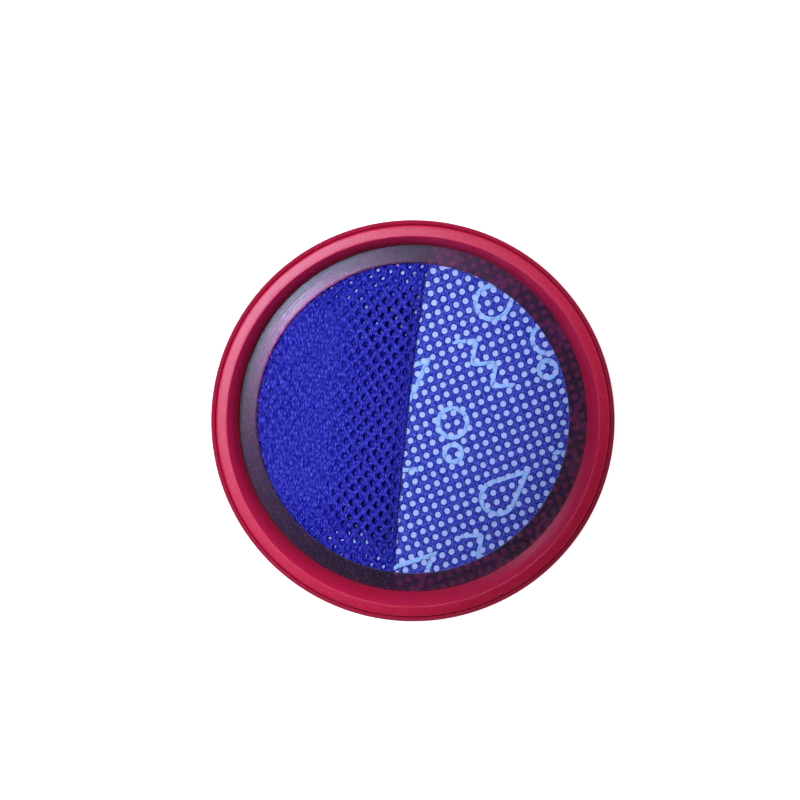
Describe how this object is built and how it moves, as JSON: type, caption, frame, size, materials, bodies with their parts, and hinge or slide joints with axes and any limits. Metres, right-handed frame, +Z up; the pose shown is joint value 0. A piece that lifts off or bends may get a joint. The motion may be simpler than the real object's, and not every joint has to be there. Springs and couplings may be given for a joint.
{
  "type": "vacuum filter",
  "caption": "Round washable vacuum filter: a moulded rim with a lip seal, knitted mesh over fleece held by a tinted ring, and a half-moon cloth flap to pull it out.",
  "frame": {"origin": "centre of the frame's bottom edge, on the plane that the filter stands on", "axes": "+Z up through the open mesh face, +Y along the free edge of the pull flap, flap on the -X side"},
  "size_m": [0.12, 0.12, 0.024],
  "materials": {
    "red_plastic": "semi-matte moulded",
    "red_seal": "soft matte",
    "tinted_clear": "tinted see-through, satin gloss",
    "blue_mesh": "knitted polyester mesh",
    "white_fleece": "lofty white fleece",
    "white_felt": "dense needled felt",
    "white_scrim": "thin point-bonded nonwoven"
  },
  "bodies": {
    "root": {"rim_frame": "red_plastic", "lip_seal": "red_seal", "retaining_ring": "tinted_clear", "pull_flap": "blue_mesh", "face_mesh": "blue_mesh", "fleece_pad": "white_fleece", "fine_felt": "white_felt", "back_scrim": "white_scrim", "support_grille": "red_plastic"}
  },
  "joints": []
}
